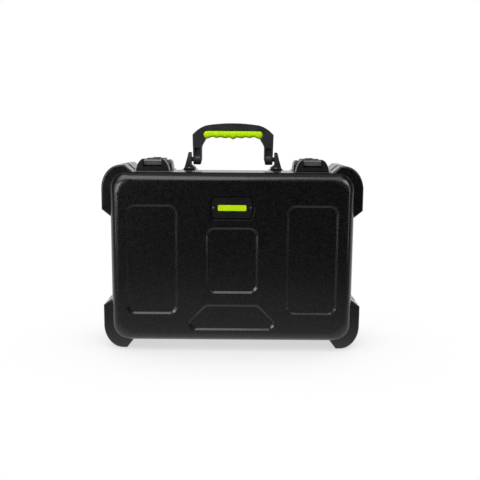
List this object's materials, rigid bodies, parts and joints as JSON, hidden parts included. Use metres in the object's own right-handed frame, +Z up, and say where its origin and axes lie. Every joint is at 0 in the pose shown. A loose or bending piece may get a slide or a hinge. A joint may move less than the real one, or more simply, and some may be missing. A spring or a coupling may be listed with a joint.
{
  "type": "microphone case",
  "caption": "Hard moulded carry case with corner bumpers, hinged lid, draw latches with key locks, folding handle and slotted foam for hand-held microphones.",
  "frame": {"origin": "middle of the case's foot, on the surface that it stands on, below the centre of its width and depth", "axes": "+X to the right seen from the lid, +Y from the lid to the back, +Z up towards the handle"},
  "size_m": [0.458, 0.165, 0.4012],
  "materials": {
    "shell_plastic": "black polyethylene, finely textured",
    "handle_plastic": "black nylon, satin",
    "grip_rubber": "lime green soft rubber",
    "frame_metal": "black anodised",
    "latch_metal": "black powder coat",
    "hook_metal": "dark nickel plate",
    "steel": "plated",
    "badge_metal": "black enamel with a plain green bar",
    "seal_rubber": "matt",
    "foam": "charcoal open-cell foam"
  },
  "bodies": {
    "base": {"base_shell": "shell_plastic", "base_frame": "frame_metal", "base_foam_pad": "foam", "base_foam_insert": "foam", "hinge_leaf_base_left": "latch_metal", "hinge_leaf_base_right": "latch_metal", "hinge_pin_left": "steel", "hinge_pin_right": "steel", "hinge_rivet_base_left_left": "steel", "hinge_rivet_base_left_right": "steel", "hinge_rivet_base_right_left": "steel", "hinge_rivet_base_right_right": "steel", "handle_bracket_left": "handle_plastic", "handle_bracket_right": "handle_plastic", "handle_pivot_left": "handle_plastic", "handle_pivot_right": "handle_plastic", "bracket_rivet_left_front": "steel", "bracket_rivet_left_back": "steel", "bracket_rivet_right_front": "steel", "bracket_rivet_right_back": "steel", "latch_housing_left": "latch_metal", "latch_housing_right": "latch_metal", "lever_pin_left": "steel", "lever_pin_right": "steel", "latch_housing_rivet_left_left": "steel", "latch_housing_rivet_left_right": "steel", "latch_housing_rivet_right_left": "steel", "latch_housing_rivet_right_right": "steel"},
    "lid": {"lid_shell": "shell_plastic", "lid_frame": "frame_metal", "lid_seal": "seal_rubber", "lid_foam": "foam", "badge_plate": "badge_metal", "badge_pin_left": "steel", "badge_pin_right": "steel", "hinge_leaf_lid_left": "latch_metal", "hinge_leaf_lid_right": "latch_metal", "hinge_rivet_lid_left_left": "steel", "hinge_rivet_lid_left_right": "steel", "hinge_rivet_lid_right_left": "steel", "hinge_rivet_lid_right_right": "steel", "latch_keeper_left": "latch_metal", "latch_keeper_right": "latch_metal", "latch_keeper_rivet_left_left": "steel", "latch_keeper_rivet_left_right": "steel", "latch_keeper_rivet_right_left": "steel", "latch_keeper_rivet_right_right": "steel"},
    "handle": {"handle_bow": "handle_plastic", "handle_grip": "grip_rubber"},
    "lever_left": {"latch_lever_left": "latch_metal", "hook_pin_left": "steel"},
    "hook_left": {"latch_hook_left": "hook_metal"},
    "lock_left": {"key_lock_left": "steel"},
    "lever_right": {"latch_lever_right": "latch_metal", "hook_pin_right": "steel"},
    "hook_right": {"latch_hook_right": "hook_metal"},
    "lock_right": {"key_lock_right": "steel"}
  },
  "joints": [
    {"name": "lid_hinge", "type": "hinge", "parent": "base", "child": "lid", "pos_m": [0, -0.0185, 0.0117], "axis": [1, 0, 0], "range_deg": [0, 100]},
    {"name": "handle_pivot", "type": "hinge", "parent": "base", "child": "handle", "pos_m": [0, 0.0155, 0.3358], "axis": [1, 0, 0], "range_deg": [-90, 90]},
    {"name": "lever_left", "type": "hinge", "parent": "base", "child": "lever_left", "pos_m": [-0.14, -0.0045, 0.326], "axis": [1, 0, 0], "range_deg": [0, 95]},
    {"name": "hook_left", "type": "hinge", "parent": "lever_left", "child": "hook_left", "pos_m": [-0.14, 0.00441, 0.32475], "axis": [1, 0, 0], "range_deg": [-113.1, 0]},
    {"name": "key_left", "type": "hinge", "parent": "lever_left", "child": "lock_left", "pos_m": [-0.14, 0.0195, 0.33], "axis": [0, 0, 1], "range_deg": [0, 90]},
    {"name": "lever_right", "type": "hinge", "parent": "base", "child": "lever_right", "pos_m": [0.14, -0.0045, 0.326], "axis": [1, 0, 0], "range_deg": [0, 95]},
    {"name": "hook_right", "type": "hinge", "parent": "lever_right", "child": "hook_right", "pos_m": [0.14, 0.00441, 0.32475], "axis": [1, 0, 0], "range_deg": [-113.1, 0]},
    {"name": "key_right", "type": "hinge", "parent": "lever_right", "child": "lock_right", "pos_m": [0.14, 0.0195, 0.33], "axis": [0, 0, 1], "range_deg": [0, 90]}
  ],
  "couplings": [
    {"joint": "hook_left", "follows": "lever_left", "ratio": -1.19},
    {"joint": "hook_right", "follows": "lever_right", "ratio": -1.19}
  ]
}
